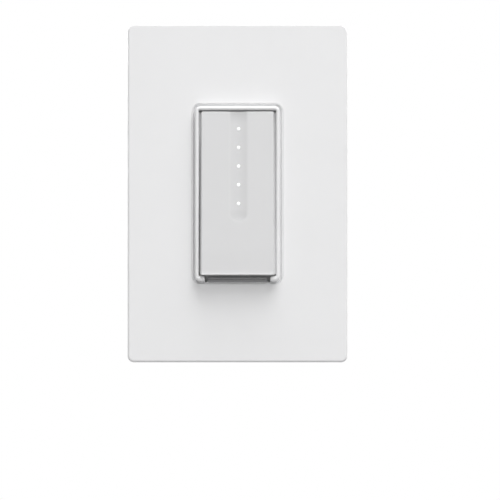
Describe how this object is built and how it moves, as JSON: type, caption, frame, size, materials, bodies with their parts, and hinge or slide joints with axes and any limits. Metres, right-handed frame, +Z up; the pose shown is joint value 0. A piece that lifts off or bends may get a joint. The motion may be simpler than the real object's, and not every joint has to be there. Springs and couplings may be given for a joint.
{
  "type": "smart dimmer switch",
  "caption": "Wall dimmer with a screwless plate, a raised bezel, a tilting paddle with a touch groove and lights, a service pull tab and a rear housing.",
  "frame": {"origin": "middle of the wall plate, on the wall's surface", "axes": "+Z up along the plate's long side, +Y into the wall, so the face looks towards -Y; +X to the right seen from the front"},
  "size_m": [0.0812, 0.0408, 0.124],
  "materials": {
    "white_plastic": "satin white moulded plastic",
    "paddle_plastic": "satin moulded plastic, a touch greyer than the plate",
    "inner_white_plastic": "plain white moulded plastic",
    "housing_plastic": "fine-textured dark grey flame-retardant plastic",
    "tab_plastic": "plain grey moulded plastic",
    "black_plastic": "black moulded plastic",
    "yellow_plastic": "yellow moulded case",
    "clear_plastic": "clear moulded plastic",
    "strap_metal": "zinc-plated steel sheet",
    "screw_steel": "zinc-plated steel",
    "painted_screw": "white painted screw",
    "spring_steel": "bright spring wire",
    "brass": "plain brass",
    "copper": "enamelled copper",
    "green_screw": "green dyed steel",
    "circuit_board": "green glass-fibre board",
    "fibre": "pressed fibre sheet",
    "blue_coating": "blue epoxy coating",
    "amber_film": "amber film",
    "led_lens": "pale lens"
  },
  "bodies": {
    "device": {"air_gap_contact": "copper", "air_gap_leaf": "brass", "board_header": "black_plastic", "box_screw_bottom": "screw_steel", "box_screw_top": "screw_steel", "control_board": "circuit_board", "dimming_mosfet_1": "black_plastic", "dimming_mosfet_2": "black_plastic", "electrolytic_capacitor": "black_plastic", "film_capacitor": "yellow_plastic", "filter_choke": "copper", "front_bezel": "white_plastic", "fuse": "clear_plastic", "ground_screw": "green_screw", "housing_screw_1": "screw_steel", "housing_screw_2": "screw_steel", "housing_screw_3": "screw_steel", "housing_screw_4": "screw_steel", "indicator_led_1": "led_lens", "indicator_led_2": "led_lens", "indicator_led_3": "led_lens", "indicator_led_4": "led_lens", "indicator_led_5": "led_lens", "insulating_pad": "fibre", "insulating_sheet": "fibre", "mounting_strap": "strap_metal", "plate_screw_bottom": "painted_screw", "plate_screw_top": "painted_screw", "power_board": "circuit_board", "power_transformer": "black_plastic", "radio_module": "circuit_board", "rear_housing": "housing_plastic", "return_spring_left": "spring_steel", "return_spring_right": "spring_steel", "screw_retainer_bottom": "fibre", "screw_retainer_top": "fibre", "sub_plate": "inner_white_plastic", "tact_switch_body": "black_plastic", "terminal_clamp_1": "brass", "terminal_clamp_2": "brass", "terminal_clamp_3": "brass", "terminal_clamp_4": "brass", "terminal_screw_1": "screw_steel", "terminal_screw_2": "brass", "terminal_screw_3": "screw_steel", "terminal_screw_4": "brass", "touch_ribbon": "amber_film", "varistor": "blue_coating", "wall_plate": "white_plastic"},
    "paddle": {"paddle": "paddle_plastic", "light_guide": "clear_plastic", "touch_board": "circuit_board"},
    "plunger": {"tact_switch_plunger": "yellow_plastic"},
    "pull_tab": {"air_gap_tab": "tab_plastic"}
  },
  "joints": [
    {"name": "paddle_press", "type": "hinge", "parent": "device", "child": "paddle", "pos_m": [0, -0.0045, 0.02888], "axis": [1, 0, 0], "range_deg": [0, 1.2], "stiffness_Nm_per_rad": 1, "springref_deg": -1.72, "deforming": ["return_spring_left", "return_spring_right"]},
    {"name": "tact_press", "type": "slide", "parent": "device", "child": "plunger", "axis": [0, 1, 0], "range_m": [0, 0.00101]},
    {"name": "air_gap_pull", "type": "slide", "parent": "device", "child": "pull_tab", "axis": [0, -1, 0], "range_m": [0, 0.003]}
  ],
  "couplings": [
    {"joint": "tact_press", "follows": "paddle_press", "m_per_rad": 0.048}
  ]
}
